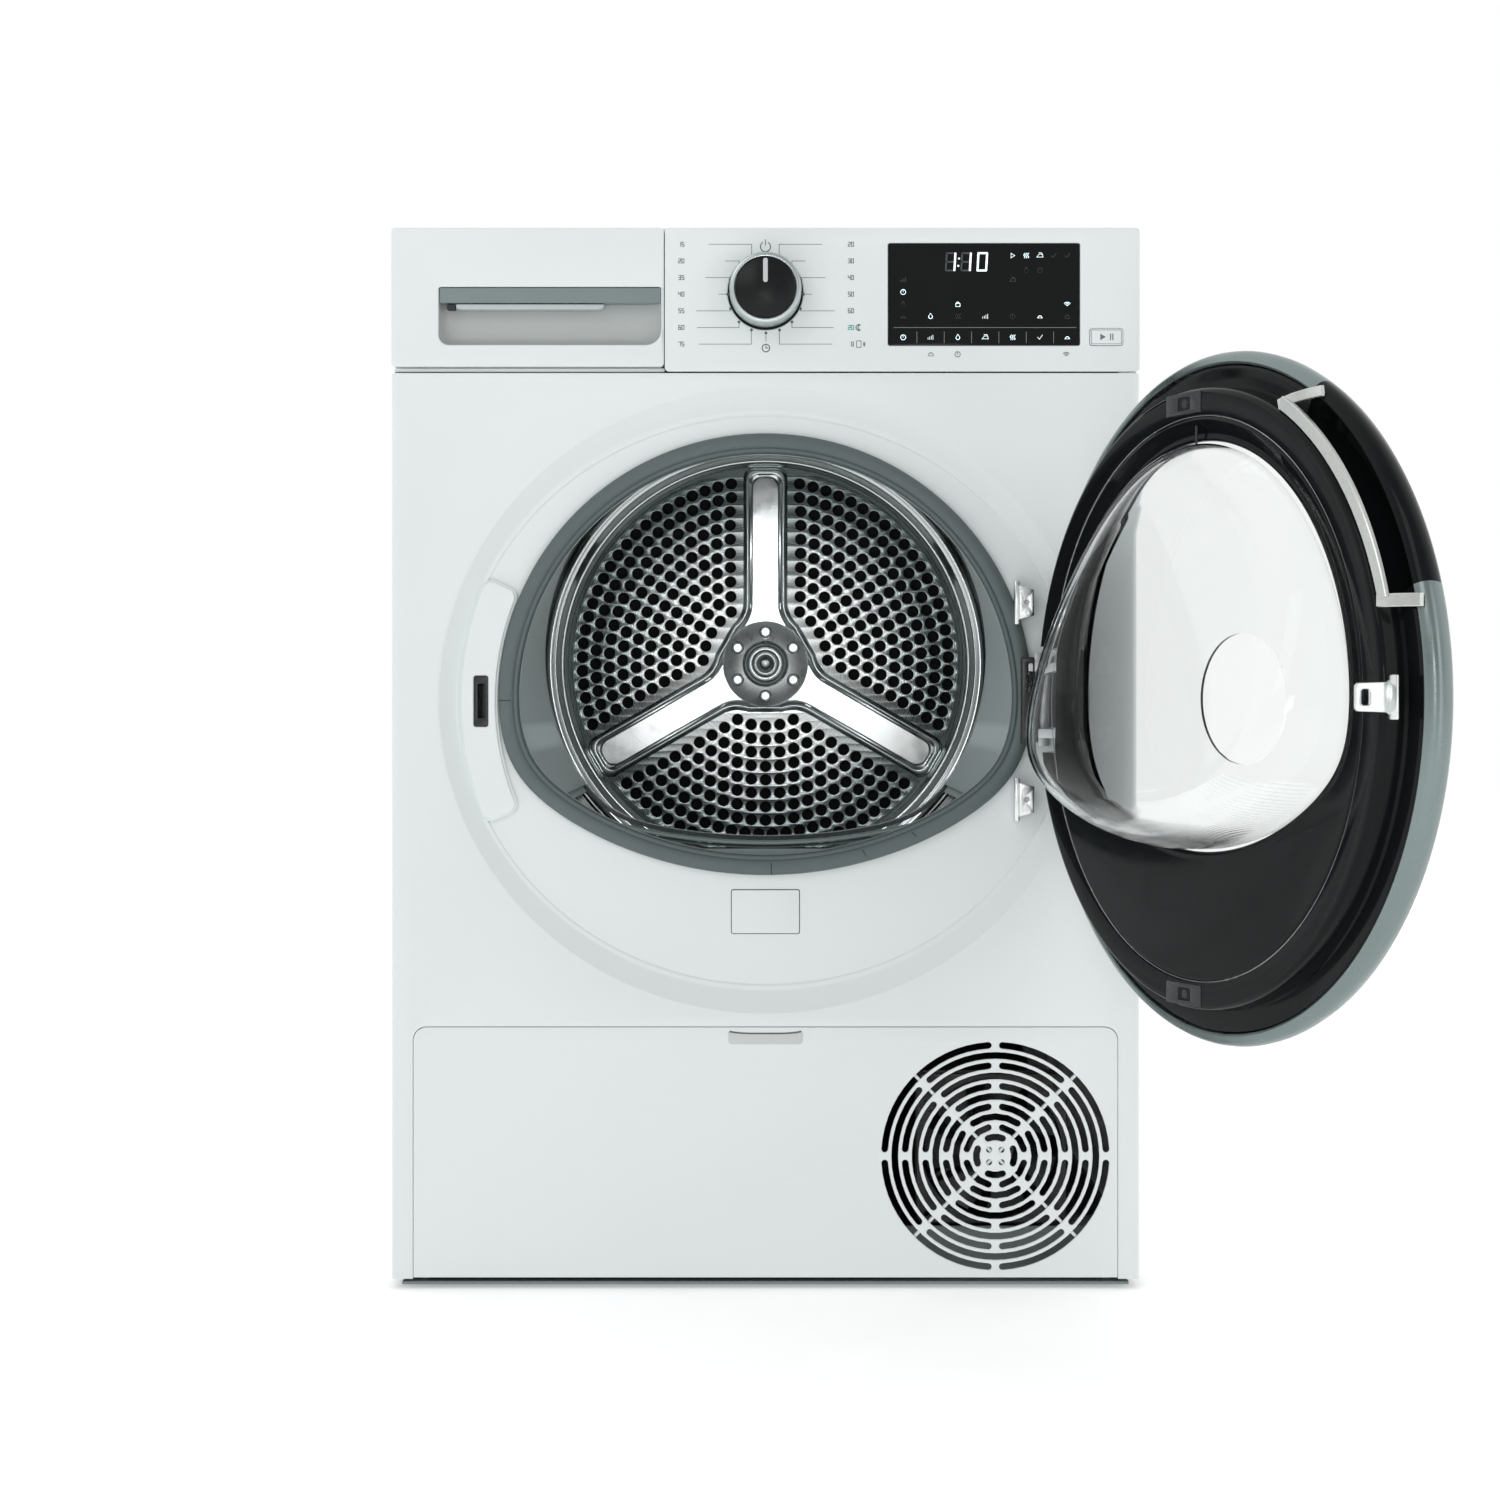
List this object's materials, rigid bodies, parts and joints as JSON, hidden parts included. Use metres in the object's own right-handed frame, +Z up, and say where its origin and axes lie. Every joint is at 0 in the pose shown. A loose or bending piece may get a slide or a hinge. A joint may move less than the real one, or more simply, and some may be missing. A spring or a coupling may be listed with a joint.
{
  "type": "clothes dryer",
  "caption": "Free-standing front-loading heat-pump clothes dryer with a round side-hinged door, tank drawer, knob, display and a service flap with a fan grille.",
  "frame": {"origin": "on the floor, at the middle of the cabinet's footprint; the base's underside is 3 mm above it", "axes": "+X to the dryer's right-hand side seen from the front, +Y to the rear, +Z up"},
  "size_m": [0.7363, 1.065, 0.846],
  "materials": {
    "white_steel": "satin enamel",
    "white_laminate": "laminated board, satin",
    "white_plastic": "satin",
    "grey_plastic": "fine grain",
    "pale_grey_plastic": "satin",
    "black_plastic": "semi-gloss",
    "black_glass": "high gloss",
    "clear_glass": "polished",
    "grey_rubber": "matte",
    "silver_plastic": "satin silver",
    "stainless": "brushed",
    "zinc_steel": "zinc plated",
    "cast_metal": "black lacquer",
    "fin_aluminium": "mill finish",
    "circuit_board": "solder resist",
    "tank_plastic": "translucent",
    "belt_rubber": "ribbed"
  },
  "bodies": {
    "cabinet": {"base_chassis": "grey_plastic", "left_side_panel": "white_steel", "right_side_panel": "white_steel", "rear_panel": "zinc_steel", "worktop": "white_laminate", "front_panel": "white_steel", "control_panel": "white_plastic", "display_window": "black_glass", "control_board": "circuit_board", "front_bulkhead": "white_plastic", "door_seal": "grey_rubber", "latch_plate": "white_plastic", "door_catch": "black_plastic", "hinge_bracket": "zinc_steel", "rear_bearing_bar": "zinc_steel", "tank_tray": "pale_grey_plastic", "motor_housing": "cast_metal", "fan_housing": "grey_plastic", "evaporator": "fin_aluminium", "condenser": "fin_aluminium", "compressor": "cast_metal", "heat_exchanger_cover": "pale_grey_plastic", "cooling_fan_frame": "black_plastic", "condensate_pump": "black_plastic", "mains_inlet": "black_plastic", "drive_belt": "belt_rubber"},
    "door": {"door_ring": "silver_plastic", "door_glass": "clear_glass", "door_inner_frame": "black_plastic", "door_bowl": "clear_glass", "door_hook": "silver_plastic", "door_hinge_leaf": "cast_metal"},
    "drum": {"drum_shell": "stainless", "drum_rear_wall": "stainless", "drum_star": "stainless", "drum_paddle_1": "pale_grey_plastic", "drum_paddle_2": "pale_grey_plastic", "drum_paddle_3": "pale_grey_plastic"},
    "motor_rotor": {"motor_shaft": "zinc_steel", "process_impeller": "grey_plastic"},
    "idler_swing": {"idler_arm": "zinc_steel"},
    "idler_wheel": {"idler_pulley": "black_plastic"},
    "left_roller": {"left_support_roller": "black_plastic"},
    "right_roller": {"right_support_roller": "black_plastic"},
    "cooling_fan": {"cooling_fan_impeller": "black_plastic"},
    "knob": {"programme_knob": "silver_plastic"},
    "button": {"start_button": "white_plastic"},
    "drawer": {"drawer_front": "white_plastic", "drawer_grip": "grey_plastic", "water_tank": "tank_plastic", "tank_lid": "tank_plastic"},
    "filter": {"lint_filter": "grey_plastic"},
    "flap": {"service_flap": "white_plastic"},
    "flap_tab": {"flap_latch": "white_plastic"},
    "left_turn_latch": {"left_cover_latch": "grey_plastic"},
    "right_turn_latch": {"right_cover_latch": "grey_plastic"},
    "foot_front_left": {"front_left_foot": "black_plastic"},
    "foot_front_right": {"front_right_foot": "black_plastic"},
    "foot_rear_left": {"rear_left_foot": "black_plastic"},
    "foot_rear_right": {"rear_right_foot": "black_plastic"}
  },
  "joints": [
    {"name": "door_hinge", "type": "hinge", "parent": "cabinet", "child": "door", "pos_m": [0.23, -0.318, 0.469], "axis": [0, 0, 1], "range_deg": [-113.3, 21]},
    {"name": "drum_spin", "type": "hinge", "parent": "cabinet", "child": "drum", "pos_m": [0, 0, 0.507], "axis": [0, 1, 0], "continuous": true},
    {"name": "motor_spin", "type": "hinge", "parent": "cabinet", "child": "motor_rotor", "pos_m": [0.095, 0.073, 0.13], "axis": [0, 1, 0], "continuous": true},
    {"name": "left_roller_spin", "type": "hinge", "parent": "cabinet", "child": "left_roller", "pos_m": [-0.186, -0.214, 0.2687], "axis": [0, 1, 0], "continuous": true},
    {"name": "right_roller_spin", "type": "hinge", "parent": "cabinet", "child": "right_roller", "pos_m": [0.186, -0.214, 0.2687], "axis": [0, 1, 0], "continuous": true},
    {"name": "idler_arm_swing", "type": "hinge", "parent": "cabinet", "child": "idler_swing", "pos_m": [0.06, 0.083, 0.1], "axis": [0, -1, 0], "range_deg": [0, 10], "stiffness_Nm_per_rad": 2, "springref_deg": -5.73},
    {"name": "idler_pulley_spin", "type": "hinge", "parent": "idler_swing", "child": "idler_wheel", "pos_m": [0.04272, 0.073, 0.13343], "axis": [0, 1, 0], "continuous": true},
    {"name": "cooling_fan_spin", "type": "hinge", "parent": "cabinet", "child": "cooling_fan", "pos_m": [0.1833, -0.25, 0.1058], "axis": [0, 1, 0], "continuous": true},
    {"name": "knob_turn", "type": "hinge", "parent": "cabinet", "child": "knob", "pos_m": [0, -0.31, 0.7946], "axis": [0, 1, 0], "continuous": true},
    {"name": "button_press", "type": "slide", "parent": "cabinet", "child": "button", "axis": [0, 1, 0], "range_m": [0, 0.0015], "stiffness_N_per_m": 500, "springref_m": -0.001},
    {"name": "drawer_slide", "type": "slide", "parent": "cabinet", "child": "drawer", "axis": [0, -1, 0], "range_m": [0, 0.36]},
    {"name": "filter_lift", "type": "slide", "parent": "cabinet", "child": "filter", "axis": [0, 0, 1], "range_m": [0, 0.15]},
    {"name": "flap_swing", "type": "hinge", "parent": "cabinet", "child": "flap", "pos_m": [0, -0.2935, 0.015], "axis": [1, 0, 0], "range_deg": [0, 90]},
    {"name": "flap_tab_slide", "type": "slide", "parent": "flap", "child": "flap_tab", "axis": [0, 0, -1], "range_m": [0, 0.004], "stiffness_N_per_m": 300, "springref_m": -0.002},
    {"name": "left_cover_latch_turn", "type": "hinge", "parent": "cabinet", "child": "left_turn_latch", "pos_m": [-0.236, -0.27, 0.122], "axis": [0, 1, 0], "range_deg": [0, 90]},
    {"name": "right_cover_latch_turn", "type": "hinge", "parent": "cabinet", "child": "right_turn_latch", "pos_m": [0.026, -0.27, 0.122], "axis": [0, 1, 0], "range_deg": [0, 90]},
    {"name": "front_left_foot_turn", "type": "hinge", "parent": "cabinet", "child": "foot_front_left", "pos_m": [-0.256, -0.24, 0], "axis": [0, 0, 1], "continuous": true},
    {"name": "front_right_foot_turn", "type": "hinge", "parent": "cabinet", "child": "foot_front_right", "pos_m": [0.256, -0.24, 0], "axis": [0, 0, 1], "continuous": true},
    {"name": "rear_left_foot_turn", "type": "hinge", "parent": "cabinet", "child": "foot_rear_left", "pos_m": [-0.256, 0.25, 0], "axis": [0, 0, 1], "continuous": true},
    {"name": "rear_right_foot_turn", "type": "hinge", "parent": "cabinet", "child": "foot_rear_right", "pos_m": [0.256, 0.25, 0], "axis": [0, 0, 1], "continuous": true}
  ],
  "couplings": [
    {"joint": "motor_spin", "follows": "drum_spin", "ratio": 50},
    {"joint": "left_roller_spin", "follows": "drum_spin", "ratio": -12.727},
    {"joint": "right_roller_spin", "follows": "drum_spin", "ratio": -12.727},
    {"joint": "idler_pulley_spin", "follows": "drum_spin", "ratio": -17.5}
  ]
}
